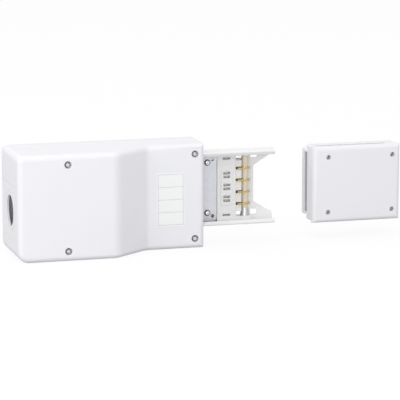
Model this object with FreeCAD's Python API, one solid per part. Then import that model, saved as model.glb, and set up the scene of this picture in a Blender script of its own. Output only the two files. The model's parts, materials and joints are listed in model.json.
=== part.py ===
"""End feed unit for small busbar trunking: feed box, joint stub and end cover.

Millimetres. +X runs along the trunking, away from the feed box, -Y is the front, +Z is up.
The origin is on the trunking's centre line, at the box's end face where the joint stub leaves it.
"""
import math
import os

import FreeCAD, Part
from FreeCAD import Vector

# Feed box, outside
box_length = 295.0
box_height = 159.0
box_drop = 3.5            # the box's centre lies this far under the trunking's centre line
deep_depth = 117.0        # depth of the cable half
shallow_depth = 73.5      # depth of the joint half
back_plane = 26.0         # the wall lies this far behind the trunking's centre line
ramp_from = 144.0         # the slope between the two depths, measured from the end face
ramp_to = 89.0
brow_radius = 24.0        # where the deep half's face turns into the slope
bend_radius = 14.0        # where the slope meets the shallow half's face
edge_radius = 8.0         # edges round the cover's front
top_corner_radius = 9.0   # left corners, seen from the front
low_corner_radius = 16.0
cover_wall = 3.0
base_wall = 3.0
base_depth = 7.0          # height of the base tray's rim
seal_thickness = 1.2
seal_width = 2.0
seal_break = 6.0          # depth of the cuts that part the seal
seam = 0.2                # air between the seal and the cover
fit_gap = 0.3             # air round a piece that passes through a cut-out
seat_gap = 0.3            # air between pieces that part from each other
weld = 0.5                # how far a rib or post runs into the wall that it grows from
past = 1.0                # how far a cutting tool runs past the face that it cuts

# Cover screws and their posts
screw_from_left = 75.0    # distance of each screw pair from the box's ends
screw_from_right = 14.8
screw_inset = 15.0        # in from the box's top and bottom
screw_radius = 2.0
screw_hole_gap = 0.4
screw_head_radius = 4.6
screw_head_height = 3.2
screw_length = 12.0       # shank under the head
recess_radius = 5.5
recess_depth = 4.6
boss_radius = 8.0
boss_floor = 2.6
post_radius = 6.0
insert_radius = 3.4
insert_length = 8.0
insert_gap = 0.15

# Cable entry
entry_radius = 23.5
entry_drop = 13.0         # entry's centre below the trunking's centre line
entry_from_back = 58.0
gland_margin = 16.5       # plate left round the entry hole
gland_corner = 6.0
gland_lip = 4.0           # the plate's lip overlaps the cover's wall from inside
gland_lip_thickness = 1.5
nut_seat = 10.0           # thinner ring round the hole, for the gland's nut
knockout_radius = 30.0
knockout_width = 1.2
knockout_depth = 0.5
guide_length = 12.0
guide_height = 15.0
guide_thickness = 4.0

# Wall fixing holes in the base
fixing_radius = 3.25
fixing_span = 200.0
fixing_rise = 50.0
fixing_right = 62.0       # distance of the right pair from the end face
fixing_collar = 3.5
fixing_collar_height = 3.0

# Stiffening ribs on the base's floor, under the cable
rib_thickness = 2.0
rib_height = 3.0
rib_spacing = 26.0
rib_count = 4
rib_margin = 14.0         # clear of the gland plate's guides and of the terminal block

# Pry notch in the base's rim
notch_height = 5.0
notch_depth = 2.0
notch_rise = 18.0         # above the box's bottom

# Joint stub casing, a folded sheet channel that is open at the front
casing_height = 113.0
web_back = 23.0           # back of the casing, behind the trunking's centre line
casing_front = 17.6       # front of its flanges, before the centre line
casing_sheet = 1.5
casing_chamfer = 7.0      # slanted strip between the web and a flange
casing_lip = 6.6          # height of the lips along the flanges' front edges
lip_slope = 4.0           # they lean back by this much
fold_radius = 2.0
casing_front_length = 121.2
casing_back_length = 128.0
casing_start = 6.0        # the channel starts this far inside the box
tail_length = 40.0        # the back web alone goes on into the box
tail_height = 104.0
notch_start = 98.0        # the back web is cut away from here to its end
notch_half_in = 28.0
notch_half_out = 47.0
window_width = 11.0       # four windows in the web, beside the joint's column
window_height = 7.8
window_rise = 44.4
window_near = 73.5
window_far = 98.5
fold_inside = 0.5
casing_screw_rise = 47.0
casing_screw_step = 7.8   # distance between the two screws that hold the tail
small_screw_radius = 1.8
small_screw_gap = 0.2
small_head_radius = 3.4
small_head_height = 2.4
screw_end_wall = 1.0      # wall left behind the tips of the screws in the base
hole_end_wall = 0.6       # wall left behind their holes

# Conductors: bent brass strips that end in contact blades
pole_pitch = 18.4
pole_names = ("n", "l3", "l2", "l1")
bar_thickness = 2.4
bar_width = 8.0
bar_back = 16.8           # back face of the strips
bar_end = 100.0           # how far they reach into the box
bar_gap = 0.3
blade_start = 66.0
blade_end = 87.0
blade_front = 0.0         # front edge of the blades
blade_corner = 3.0
blade_hole_radius = 3.9

# Clamp rod through the blades, with its insulating sleeves
rod_x = 80.3
rod_y = 8.5
rod_radius = 2.5
rod_gap = 0.1
rod_reach = 0.8           # rod left outside the nuts
sleeve_radius = 5.5
spigot_gap = 0.2
foot_height = 12.0
foot_radius = 7.0
nut_across_flats = 8.0
nut_height = 2.7

# Joint insulator: a block with two arms that hold the clamp rod, a slotted shield and a rail
block_start = 34.0
block_length = 30.0
block_height = 87.4
block_front = 1.0
block_round = 1.5
arm_front = 1.5
arm_back = 15.0
arm_margin = 8.2          # arm past the clamp rod
seat_rise = 3.3           # the arms' seats for the column lie this far past the block's ends
seat_thickness = 3.0      # between the column and a nut
nut_pocket_radius = 5.2
shield_length = 9.8       # slotted wall in front of the strips, beside the block
shield_half = 39.5
shield_front = 4.0
shield_slot_gap = 0.9     # above and below a blade
rail_depth = 6.0          # rail behind the fixing plate's upper edge
panel_margin = 6.0
panel_half = 26.4
panel_drop = 1.5          # the panel's centre lies this far under the trunking's centre line
panel_rise = 1.5
slot_width = 11.0
slot_height = 4.2
slot_step = 5.8           # distance between the two slots of a pair
slot_depth = 12.0
clip_width = 12.0
clip_height = 3.4
clip_depth = 12.0
block_screw_rise = 39.5
block_screw_radius = 1.6
block_screw_length = 9.0
block_screw_head = 3.2

# Fixing plate over the conductors, at the stub's root
plate_start = 2.0
plate_width = 31.0
plate_height = 104.0
plate_front = 0.5
plate_sheet = 1.5
plate_corner = 5.0
plate_return = 8.0
plate_return_half = 33.0
plate_screw_x = 18.0
plate_screw_rise = 39.0
plate_screw_radius = 1.8
plate_head_radius = 3.7
plate_head_height = 2.0
plate_washer_radius = 4.7
plate_screw_floor = 6.0   # web's face to the screw's tip
plate_socket_radius = 1.5
plate_washer_thickness = 1.0
pillar_radius = 3.2
pillar_floor = 4.0        # left solid at the pillar's foot
sight_x = 26.5            # sight holes beside the screws
sight_rise = 44.0
sight_radius = 2.8

# Insulating liner between the strips and the casing's web
liner_thickness = 1.4
liner_overlap = 12.0      # past the end of the casing's tail
liner_half = 42.0

# Terminals
cage_length = 24.0
cage_half = 7.0
cage_wall = 2.5
cage_front_wall = 4.0
tunnel_half = 4.8
tunnel_depth = 17.8
cage_left = 104.0
clamp_screw_radius = 4.0
clamp_screw_gap = 0.1
clamp_screw_length = 14.0
clamp_screw_proud = 6.0
driver_slot = 1.2
driver_slot_depth = 2.0
barrier_thickness = 2.4
barrier_margin = 8.0
barrier_front = 3.0       # the barriers stand this far in front of the cages
block_foot = 9.0
earth_joggle = 8.0
earth_pad = 18.0
earth_screw_x = 22.0

# End cover
cap_start = 179.5
cap_length = 141.7
cap_height = 118.5
cap_front = 27.3          # in front of the trunking's centre line
cap_back = 28.0
cap_wall = 2.5
rim_depth = 10.2
cap_round = 7.5           # rounding of the front shell's front edges
skirt_inset = 2.0         # the skirt stands back from the rim at the ends
skirt_drop = 0.4          # and above and below
skirt_depth = 26.6
tray_inset = 7.0          # the tray is lower than the rim by this much, above and below
tray_lip = 2.0            # depth of the tray's edge, on which the skirt stands
tray_corner = 3.0
cap_inner_corner = 0.6
vent_start = 6.0          # vents in the skirt's top and bottom, from the near end
vent_end = 20.7           # and the wall left at the far end
vent_width = 9.0
mouth_half = 47.0
mouth_depth = 9.9
cap_screw_left = 24.4     # from the cover's near end
cap_screw_span = 104.0
cap_screw_rise = 42.8
cap_recess_radius = 3.7
cap_recess_depth = 10.0
cap_head_radius = 3.3
cap_head_height = 2.4
cap_boss_radius = 5.6
cap_boss_floor = 2.4
cap_post_radius = 5.0
cap_insert_radius = 3.0
cap_rib_count = 3         # stiffening ribs on the tray's floor

# Places that follow from the sizes above
box_centre = -box_drop
box_top = box_centre + box_height / 2
box_bottom = box_centre - box_height / 2
deep_front = back_plane - deep_depth
shallow_front = back_plane - shallow_depth
base_floor = back_plane - base_wall
parting = back_plane - base_depth
cover_back = parting - seal_thickness - seam
web_front = web_back - casing_sheet
casing_half = casing_height / 2
flange_inside = casing_half - casing_sheet
poles = [pole_pitch * (i - 1.5) for i in range(len(pole_names))]
bar_front = bar_back - bar_thickness
bar_drop = (bar_width - bar_thickness) / 2
earth_level = poles[0] - pole_pitch - bar_drop
terminal_levels = [earth_level] + [z - bar_drop for z in poles]
cage_back = bar_back + cage_wall
cage_front = bar_back - tunnel_depth - cage_front_wall
cage_middle = -cage_left + cage_length / 2
block_half = block_height / 2
block_end = block_start + block_length
block_middle = block_start + block_length / 2
column_half = block_half + seat_rise
arm_reach = flange_inside - fit_gap
plate_back = plate_front + plate_sheet
casing_screw_x = -screw_from_right - post_radius - small_head_radius - fit_gap
entry_y = back_plane - entry_from_back
gland_thickness = cover_wall + seat_gap
gland_inside = -box_length + gland_thickness + gland_lip_thickness
cap_half = cap_height / 2
cap_end = cap_start + cap_length
skirt_back = -cap_front + rim_depth + skirt_depth
tray_front = skirt_back + seat_gap


def block(x0, x1, y0, y1, z0, z1):
    """Box between two corners."""
    return Part.makeBox(x1 - x0, y1 - y0, z1 - z0, Vector(x0, y0, z0))


def round_x(radius, x0, x1, y, z):
    return Part.makeCylinder(radius, x1 - x0, Vector(x0, y, z), Vector(1, 0, 0))


def round_y(radius, y0, y1, x, z):
    return Part.makeCylinder(radius, y1 - y0, Vector(x, y0, z), Vector(0, 1, 0))


def round_z(radius, z0, z1, x, y):
    return Part.makeCylinder(radius, z1 - z0, Vector(x, y, z0), Vector(0, 0, 1))


def outline(corners, radii):
    """Face of a closed outline; each corner is rounded by its own radius, 0 for a sharp one."""
    edges = []
    starts = []
    ends = []
    for i, corner in enumerate(corners):
        before = (corners[i - 1] - corner).normalize()
        after = (corners[(i + 1) % len(corners)] - corner).normalize()
        half = before.getAngle(after) / 2
        setback = radii[i] / math.tan(half)
        starts.append(corner + before * setback)
        ends.append(corner + after * setback)
        if radii[i] > 0:
            middle = (before + after).normalize()
            apex = corner + middle * (radii[i] / math.sin(half) - radii[i])
            edges.append(Part.Arc(starts[i], apex, ends[i]).toShape())
    for i in range(len(corners)):
        edges.append(Part.LineSegment(ends[i - 1], starts[i]).toShape())
    return Part.Face(Part.Wire(Part.__sortEdges__(edges)))


def slab_y(x0, x1, y0, y1, z0, z1, radius):
    """Plate across Y with four rounded corners."""
    corners = [Vector(x0, y0, z0), Vector(x1, y0, z0), Vector(x1, y0, z1), Vector(x0, y0, z1)]
    return outline(corners, [radius] * 4).extrude(Vector(0, y1 - y0, 0))


def both_sides(low, high):
    """The same stretch of Z below and above the centre line."""
    return (-high, -low), (low, high)


def group(shapes):
    return Part.makeCompound(shapes)


def fuse(shapes):
    return shapes[0].multiFuse(shapes[1:]).removeSplitter()


def cut_each(shape, tools):
    """Take the tools off one after another, where they may overlap."""
    for tool in tools:
        shape = shape.cut(tool)
    return shape


def cover_screw_places():
    """X, Z and the front plane at each of the four cover screws."""
    places = []
    rise = box_height / 2 - screw_inset
    for x, front in ((-box_length + screw_from_left, deep_front), (-screw_from_right, shallow_front)):
        for side in (-1, 1):
            places.append((x, box_centre + side * rise, front))
    return places


def box_outline(inset, y0, y1):
    """Plate with the box's outline as seen from the front, moved inwards by inset."""
    corners = [
        Vector(-box_length + inset, y0, box_bottom + inset),
        Vector(-inset, y0, box_bottom + inset),
        Vector(-inset, y0, box_top - inset),
        Vector(-box_length + inset, y0, box_top - inset),
    ]
    radii = [low_corner_radius - inset, 0, 0, top_corner_radius - inset]
    return outline(corners, radii).extrude(Vector(0, y1 - y0, 0))


def hood(inset, back):
    """Solid of the cover's outer form, moved inwards by inset on all sides but the back.

    The front outline and the plan outline are run through each other, then the front edges are rounded.
    """
    angle = math.atan2(deep_depth - shallow_depth, ramp_from - ramp_to)
    shift = inset * math.tan(angle / 2)
    below = box_bottom - past
    corners = [
        Vector(-box_length - past, back, below),
        Vector(-box_length - past, deep_front + inset, below),
        Vector(-ramp_from - shift, deep_front + inset, below),
        Vector(-ramp_to - shift, shallow_front + inset, below),
        Vector(past, shallow_front + inset, below),
        Vector(past, back, below),
    ]
    plan = outline(corners, [0, 0, brow_radius - inset, bend_radius + inset, 0, 0])
    plan = plan.extrude(Vector(0, 0, box_height + 2 * past))
    body = box_outline(inset, deep_front, back).common(plan)
    rounded = []
    for edge in body.Edges:
        ends = [vertex.Point for vertex in edge.Vertexes]
        at_back = any(abs(point.y - back) < seam for point in ends)
        upright = abs(ends[0].z - ends[-1].z) > box_height / 2
        inside = -ramp_from - box_length / 4 < ends[0].x < -ramp_to + box_length / 4
        if not at_back and not (upright and inside):
            rounded.append(edge)
    return body.makeFillet(edge_radius - inset, rounded)


def gland_outline(margin):
    """Lower and upper Z and front Y of the gland plate, grown by margin."""
    reach = entry_radius + gland_margin + margin
    return -entry_drop - reach, -entry_drop + reach, entry_y - reach


def gland_slab(x0, x1, margin, back):
    """Plate across X with the gland plate's outline, open to the back."""
    low, high, front = gland_outline(margin)
    corners = [Vector(x0, back, low), Vector(x0, front, low), Vector(x0, front, high), Vector(x0, back, high)]
    return outline(corners, [0, gland_corner, gland_corner, 0]).extrude(Vector(x1 - x0, 0, 0))


def front_cover():
    inner_back = cover_back + cover_wall
    shell = hood(0, cover_back).cut(hood(cover_wall, inner_back))
    core = hood(cover_wall / 2, inner_back)
    bosses = []
    holes = []
    for x, z, front in cover_screw_places():
        floor = front + recess_depth
        end = floor + boss_floor
        bosses.append(round_y(boss_radius, front + cover_wall / 2, end, x, z).common(core))
        holes.append(round_y(recess_radius, front - past, floor, x, z))
        holes.append(round_y(screw_radius + screw_hole_gap, front, end + past, x, z))
    half = casing_half + fit_gap
    holes.append(gland_slab(-box_length - past, -box_length + cover_wall + past, fit_gap, inner_back))
    holes.append(block(-cover_wall - past, past, -casing_front - fit_gap, inner_back, -half, half))
    return cut_each(fuse([shell] + bosses), holes)


def cover_screws():
    screws = []
    for x, z, front in cover_screw_places():
        floor = front + recess_depth
        head = round_y(screw_head_radius, floor - screw_head_height, floor, x, z)
        shank = round_y(screw_radius, floor, floor + screw_length, x, z)
        screws.append(fuse([head, shank]))
    return group(screws)


def post_top(front):
    """Y of the top of the base's post behind a cover screw."""
    return front + recess_depth + boss_floor + seat_gap


def cover_inserts():
    inserts = []
    for x, z, front in cover_screw_places():
        top = post_top(front)
        tube = round_y(insert_radius, top, top + insert_length, x, z)
        bore = round_y(screw_radius + insert_gap, top - past, top + insert_length + past, x, z)
        inserts.append(tube.cut(bore))
    return group(inserts)


def fixing_places():
    places = []
    for x in (-fixing_right - fixing_span, -fixing_right):
        for side in (-1, 1):
            places.append((x, box_centre + side * fixing_rise))
    return places


def small_screw_places():
    """X and Z of the screws that hold the casing's tail: two plain ones and the earth screw."""
    plain = [(casing_screw_x - step, casing_screw_rise) for step in (0, casing_screw_step)]
    return plain + [(-earth_screw_x, earth_level)]


def base_posts():
    """Posts with sockets for the cover's inserts: what is added to the base, and what is cut."""
    added = []
    holes = []
    for x, z, front in cover_screw_places():
        top = post_top(front)
        added.append(round_y(post_radius, top, base_floor + weld, x, z))
        holes.append(round_y(insert_radius, top - past, top + insert_length, x, z))
        holes.append(round_y(screw_radius + insert_gap, top, top + screw_length, x, z))
    return added, holes


def base_fixings():
    """Wall fixing holes with their collars, and the holes behind the casing's tail."""
    added = []
    holes = []
    collar_top = base_floor - fixing_collar_height
    for x, z in fixing_places():
        added.append(round_y(fixing_radius + fixing_collar, collar_top, base_floor + weld, x, z))
        holes.append(round_y(fixing_radius, collar_top - past, back_plane + past, x, z))
    for x, z in small_screw_places():
        hole_end = back_plane - hole_end_wall
        holes.append(round_y(small_screw_radius + small_screw_gap, web_back - past, hole_end, x, z))
    return added, holes


def base_ribs():
    """Stiffening ribs on the floor and the two guides behind the gland plate."""
    ribs = []
    start = -box_length + rib_margin
    end = -cage_left - barrier_margin - rib_margin
    for i in range(rib_count):
        z = box_centre + rib_spacing * (i - (rib_count - 1) / 2) - rib_thickness / 2
        ribs.append(block(start, end, base_floor - rib_height, base_floor + weld, z, z + rib_thickness))
    low, high, front = gland_outline(0)
    face = gland_inside + seam
    for start in (low, high - guide_length):
        ribs.append(block(face, face + guide_thickness, base_floor - guide_height, base_floor + weld,
                          start, start + guide_length))
    return ribs


def rear_base():
    tray = box_outline(0, parting, back_plane).cut(box_outline(base_wall, parting - past, base_floor))
    posts, post_holes = base_posts()
    collars, fixing_holes = base_fixings()
    tail_half = tail_height / 2
    rest = block(-tail_length, -base_wall - past, web_back, base_floor + weld, -tail_half, tail_half)
    stub_cut = stub_outline(-base_wall - 2 * past, past, fit_gap)
    low, high, front = gland_outline(fit_gap)
    gland_cut = block(-box_length - past, -box_length + base_wall + weld, parting - past, base_floor,
                      low, high)
    notch_z = box_bottom + notch_rise
    notch = block(-box_length - past, -box_length + notch_depth, parting - past, parting + base_depth / 2,
                  notch_z, notch_z + notch_height)
    holes = post_holes + fixing_holes + [stub_cut, gland_cut, notch]
    return cut_each(fuse([tray, rest] + posts + collars + base_ribs()), holes)


def cover_seal():
    """Foam strip on the base's rim, parted at the gland plate, the pry notch and the stub."""
    inset = (cover_wall - seal_width) / 2
    top = parting - seal_thickness
    ring = box_outline(inset, top, parting)
    ring = ring.cut(box_outline(inset + seal_width, top - past, parting + past))
    low, high, front = gland_outline(gland_lip + fit_gap)
    half = casing_half + fit_gap
    notch_z = box_bottom + notch_rise
    left = -box_length - past
    gaps = []
    for x, z0, z1 in ((left, low, high), (left, notch_z, notch_z + notch_height), (-seal_break, -half, half)):
        gaps.append(block(x, x + seal_break + past, top - past, parting + past, z0, z1))
    return cut_each(ring, gaps)


def gland_plate():
    left = -box_length
    step = left + gland_thickness
    outer = gland_slab(left, step, 0, base_floor)
    plate = fuse([outer, gland_slab(step, gland_inside, gland_lip, base_floor)])
    hole = round_x(entry_radius, left - past, gland_inside + past, entry_y, -entry_drop)
    seat = round_x(entry_radius + nut_seat, step, gland_inside + past, entry_y, -entry_drop)
    ring = round_x(knockout_radius + knockout_width, left - past, left + knockout_depth, entry_y, -entry_drop)
    ring = ring.cut(round_x(knockout_radius, left - 2 * past, left + past, entry_y, -entry_drop))
    return cut_each(plate, [hole, seat, ring])


def stub_outline(x0, x1, margin):
    """Solid of the casing's outer form without its lips, grown by margin."""
    half = casing_half + margin
    turn = margin * math.tan(math.pi / 8)
    flank = web_back - casing_chamfer + turn
    level = casing_half - casing_chamfer + turn
    front = -casing_front - margin
    section = [
        (front, -half), (flank, -half), (web_back + margin, -level),
        (web_back + margin, level), (flank, half), (front, half),
    ]
    face = outline([Vector(x0, y, z) for y, z in section], [0] * len(section))
    return face.extrude(Vector(x1 - x0, 0, 0))


def casing_section():
    """Corners of the folded sheet as Y, Z and radius: its outside from lip to lip, then its inside."""
    front = -casing_front
    lip_length = math.hypot(casing_lip, lip_slope)
    lean = lip_slope / lip_length
    drop = casing_lip / lip_length
    lip_y = front + lip_slope
    lip_z = casing_half - casing_lip
    turn = casing_sheet * math.tan(math.pi / 8)
    outside = [
        (lip_y, lip_z, 0), (front, casing_half, fold_radius),
        (web_back - casing_chamfer, casing_half, fold_radius),
        (web_back, casing_half - casing_chamfer, fold_radius),
    ]
    inside = [
        (lip_y + casing_sheet * drop, lip_z + casing_sheet * lean, 0),
        (front + casing_sheet * (1 + lean) / drop, flange_inside, fold_inside),
        (web_back - casing_chamfer - turn, flange_inside, fold_inside),
        (web_front, casing_half - casing_chamfer - turn, fold_inside),
    ]
    lower_outside = [(y, -z, radius) for y, z, radius in reversed(outside)]
    lower_inside = [(y, -z, radius) for y, z, radius in inside]
    return outside + lower_outside + lower_inside + inside[::-1]


def joint_casing():
    section = casing_section()
    corners = [Vector(-casing_start, y, z) for y, z, radius in section]
    channel = outline(corners, [radius for y, z, radius in section])
    channel = channel.extrude(Vector(casing_back_length + casing_start, 0, 0))
    tail_half = tail_height / 2
    tail = block(-tail_length, -casing_start, web_front, web_back, -tail_half, tail_half)
    holes = casing_end_cuts() + casing_holes()
    return cut_each(fuse([channel, tail]), holes)


def casing_end_cuts():
    """The slanted ends of the flanges, and the part of the web that is cut away between them."""
    beyond = casing_back_length + past
    below = -casing_half - past
    slant = outline([
        Vector(casing_front_length, -casing_front, below), Vector(beyond, -casing_front, below),
        Vector(beyond, web_back, below), Vector(casing_back_length, web_back, below),
    ], [0] * 4)
    near = web_front - past
    notch = outline([
        Vector(notch_start, near, -notch_half_in), Vector(beyond, near, -notch_half_out),
        Vector(beyond, near, notch_half_out), Vector(notch_start, near, notch_half_in),
    ], [0] * 4)
    return [slant.extrude(Vector(0, 0, casing_height + 2 * past)),
            notch.extrude(Vector(0, casing_sheet + 2 * past, 0))]


def casing_holes():
    """Screw holes, countersinks and windows in the casing's web and tail."""
    near = web_front - past
    far = web_back + past
    holes = [round_y(small_screw_radius + small_screw_gap, near, far, x, z) for x, z in small_screw_places()]
    for z in (-block_screw_rise, block_screw_rise):
        holes.append(countersink(block_middle, z, small_screw_gap))
    for x in (window_near, window_far):
        for z in (-window_rise, window_rise):
            holes.append(block(x - window_width / 2, x + window_width / 2, near, far,
                               z - window_height / 2, z + window_height / 2))
    return holes


def countersink(x, z, gap):
    """Cone of a countersunk head that lies flush in the casing's web."""
    return Part.makeCone(block_screw_radius + gap, block_screw_head + gap, casing_sheet,
                         Vector(x, web_front, z), Vector(0, 1, 0))


def pan_screw(x, z, seat, reach):
    """Small pan-head screw whose head stands in front of its seat."""
    head = round_y(small_head_radius, seat - small_head_height, seat, x, z)
    return fuse([head, round_y(small_screw_radius, seat, reach, x, z)])


def casing_screws():
    tip = back_plane - screw_end_wall
    return group([pan_screw(x, z, web_front, tip) for x, z in small_screw_places()[:2]])


def earth_screw():
    x, z = small_screw_places()[2]
    return pan_screw(x, z, web_front - bar_thickness, back_plane - screw_end_wall)


def rear_liner():
    front = web_front - liner_thickness
    start = -tail_length - liner_overlap
    sheet = block(start, block_start - seat_gap, front, web_front, -liner_half, liner_half)
    holes = []
    for z in (-plate_screw_rise, plate_screw_rise):
        holes.append(round_y(pillar_radius + fit_gap, front - past, web_front + past, plate_screw_x, z))
    return cut_each(sheet, holes)


def fixing_plate():
    end = plate_start + plate_width
    half = plate_height / 2
    corners = [
        Vector(plate_start, plate_front, -half), Vector(end, plate_front, -half),
        Vector(end, plate_front, half), Vector(plate_start, plate_front, half),
    ]
    face = outline(corners, [0, plate_corner, plate_corner, 0]).extrude(Vector(0, plate_sheet, 0))
    wing = block(end - plate_sheet, end, plate_front, plate_back + plate_return,
                 -plate_return_half, plate_return_half)
    near = plate_front - past
    far = plate_back + past
    screw_hole = plate_screw_radius + small_screw_gap
    holes = []
    for side in (-1, 1):
        holes.append(round_y(screw_hole, near, far, plate_screw_x, side * plate_screw_rise))
        holes.append(round_y(sight_radius, near, far, sight_x, side * sight_rise))
    return cut_each(fuse([face, wing]), holes)


def plate_pillars():
    pillars = []
    for z in (-plate_screw_rise, plate_screw_rise):
        pillar = round_y(pillar_radius, plate_back, web_front, plate_screw_x, z)
        bore_end = web_front - pillar_floor
        bore = round_y(plate_screw_radius + small_screw_gap, plate_back - past, bore_end, plate_screw_x, z)
        pillars.append(pillar.cut(bore))
    return group(pillars)


def plate_washers():
    washers = []
    seat = plate_front - plate_washer_thickness
    hole_radius = plate_screw_radius + small_screw_gap
    for z in (-plate_screw_rise, plate_screw_rise):
        washer = round_y(plate_washer_radius, seat, plate_front, plate_screw_x, z)
        washers.append(washer.cut(round_y(hole_radius, seat - past, plate_front + past, plate_screw_x, z)))
    return group(washers)


def plate_screws():
    screws = []
    seat = plate_front - plate_washer_thickness
    top = seat - plate_head_height
    for z in (-plate_screw_rise, plate_screw_rise):
        head = round_y(plate_head_radius, top, seat, plate_screw_x, z)
        socket = round_y(plate_socket_radius, top - past, top + plate_head_height / 2, plate_screw_x, z)
        shank = round_y(plate_screw_radius, seat, web_front - plate_screw_floor, plate_screw_x, z)
        screws.append(fuse([head, shank]).cut(socket))
    return group(screws)


def insulator_arms():
    """Roots on the block's ends, the seats that reach out to the clamp rod, and the plate's rail."""
    arms = []
    tip = rod_x + arm_margin
    rail_front = plate_back + seat_gap
    rail_inside = plate_screw_rise + pillar_radius + fit_gap
    arms.append(block(plate_start + seat_gap, block_start + weld, rail_front, rail_front + rail_depth,
                      rail_inside, arm_reach))
    for low, high in both_sides(block_half, arm_reach):
        arms.append(block(block_start, block_end, arm_front, arm_back, low, high))
    for low, high in both_sides(column_half, arm_reach):
        arms.append(block(block_end - weld, tip, arm_front, arm_back, low, high))
    return arms


def insulator_slots():
    """Slot pairs in the panel, channels for the strips, slots for the blades, and the clip slots."""
    front = block_front - panel_rise - past
    slot_end = block_front - panel_rise + slot_depth
    slots = []
    for gap in range(len(poles) - 1):
        level = (poles[gap] + poles[gap + 1]) / 2
        for side in (-1, 1):
            z = level + side * slot_step / 2 - slot_height / 2
            slots.append(block(block_middle - slot_width / 2, block_middle + slot_width / 2,
                               front, slot_end, z, z + slot_height))
    blade_half = bar_thickness / 2 + shield_slot_gap
    for z in poles:
        top = z + bar_thickness / 2
        slots.append(block(block_start - past, block_end + past, bar_front - bar_gap, bar_back + bar_gap,
                           top - bar_width - bar_gap, top + bar_gap))
        slots.append(block(block_end, block_end + shield_length + past, shield_front - past, bar_front,
                           z - blade_half, z + blade_half))
    for low, high in both_sides(block_half - clip_height / 2, block_half + clip_height / 2):
        slots.append(block(block_middle - clip_width / 2, block_middle + clip_width / 2,
                           front, block_front + clip_depth, low, high))
    return slots


def joint_insulator():
    body = block(block_start, block_end, block_front, web_front, -block_half, block_half)
    upright = [edge for edge in body.Edges
               if edge.CenterOfMass.y < block_front + seam and edge.Length > block_height / 2]
    panel = block(block_start + panel_margin, block_end - panel_margin, block_front - panel_rise,
                  block_front + weld, -panel_drop - panel_half, -panel_drop + panel_half)
    shield = block(block_end - weld, block_end + shield_length, shield_front, bar_front - bar_gap,
                   -shield_half, shield_half)
    holes = insulator_slots()
    for z in (-block_screw_rise, block_screw_rise):
        holes.append(round_y(block_screw_radius + small_screw_gap, web_front - block_screw_length - past,
                             web_front + past, block_middle, z))
    for low, high in both_sides(column_half + seat_thickness, casing_half):
        holes.append(round_z(nut_pocket_radius, low, high, rod_x, rod_y))
    holes.append(round_z(rod_radius + rod_gap, -casing_half, casing_half, rod_x, rod_y))
    parts = [body.makeFillet(block_round, upright), panel, shield] + insulator_arms()
    return cut_each(fuse(parts), holes)


def block_screws():
    """Countersunk screws that hold the joint insulator from behind the web."""
    screws = []
    for z in (-block_screw_rise, block_screw_rise):
        shank = round_y(block_screw_radius, web_front - block_screw_length, web_front, block_middle, z)
        screws.append(fuse([countersink(block_middle, z, 0), shank]))
    return group(screws)


def contact_bar(level):
    """Strip from a terminal to the joint, with a contact blade bent forwards at its end."""
    top = level + bar_thickness / 2
    under = top - bar_thickness
    strip = block(-bar_end, blade_end, bar_front, bar_back, top - bar_width, top)
    corners = [
        Vector(blade_start, bar_back, under), Vector(blade_start, blade_front, under),
        Vector(blade_end, blade_front, under), Vector(blade_end, bar_back, under),
    ]
    blade = outline(corners, [0, blade_corner, blade_corner, 0]).extrude(Vector(0, 0, bar_thickness))
    return fuse([strip, blade]).cut(round_z(blade_hole_radius, under - past, top + past, rod_x, rod_y))


def spacer_sleeves():
    """Five sleeves on the clamp rod; a spigot on each of the lower four fills a blade's hole."""
    sleeves = []
    bottom = -column_half + foot_height
    for level in poles + [column_half + bar_thickness / 2]:
        top = level - bar_thickness / 2
        sleeve = round_z(sleeve_radius, bottom, top, rod_x, rod_y)
        bottom = top + bar_thickness
        if top < column_half:
            spigot = round_z(blade_hole_radius - spigot_gap, top, bottom, rod_x, rod_y)
            sleeve = fuse([sleeve, spigot])
        sleeves.append(sleeve.cut(round_z(rod_radius + rod_gap, -casing_half, casing_half, rod_x, rod_y)))
    return group(sleeves)


def clamp_rod():
    end = column_half + seat_thickness + nut_height + rod_reach
    return round_z(rod_radius, -end, end, rod_x, rod_y)


def rod_foot():
    foot = Part.makeCone(foot_radius, sleeve_radius, foot_height, Vector(rod_x, rod_y, -column_half))
    return foot.cut(round_z(rod_radius + rod_gap, -casing_half, 0, rod_x, rod_y))


def rod_nuts():
    nuts = []
    corner = nut_across_flats / math.sqrt(3)
    seat = column_half + seat_thickness
    for low, high in both_sides(seat, seat + nut_height):
        points = []
        for i in range(6):
            turn = math.radians(60 * i)
            points.append(Vector(rod_x + corner * math.cos(turn), rod_y + corner * math.sin(turn), low))
        nut = outline(points, [0] * 6).extrude(Vector(0, 0, nut_height))
        nuts.append(nut.cut(round_z(rod_radius + rod_gap, low - past, high + past, rod_x, rod_y)))
    return group(nuts)


def terminal(level):
    """Brass tunnel that clamps a cable core onto the end of a strip."""
    right = -cage_left + cage_length
    cage = block(-cage_left, right, cage_front, cage_back, level - cage_half, level + cage_half)
    tunnel = block(-cage_left - past, right + past, bar_back - tunnel_depth, bar_back,
                   level - tunnel_half, level + tunnel_half)
    hole = round_y(clamp_screw_radius + clamp_screw_gap, cage_front - past, bar_back - tunnel_depth + past,
                   cage_middle, level)
    return cut_each(cage, [tunnel, hole])


def terminal_screws():
    screws = []
    start = cage_front - clamp_screw_proud
    for level in terminal_levels:
        screw = round_y(clamp_screw_radius, start, start + clamp_screw_length, cage_middle, level)
        slot = block(cage_middle - clamp_screw_radius, cage_middle + clamp_screw_radius,
                     start - past, start + driver_slot_depth,
                     level - driver_slot / 2, level + driver_slot / 2)
        screws.append(screw.cut(slot))
    return group(screws)


def block_mount_places():
    """X and Z of the two screws that hold the terminal block on the base."""
    out = pole_pitch / 2 + barrier_thickness / 2 + block_foot / 2
    return [(cage_middle, terminal_levels[0] - out), (cage_middle, terminal_levels[-1] + out)]


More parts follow.
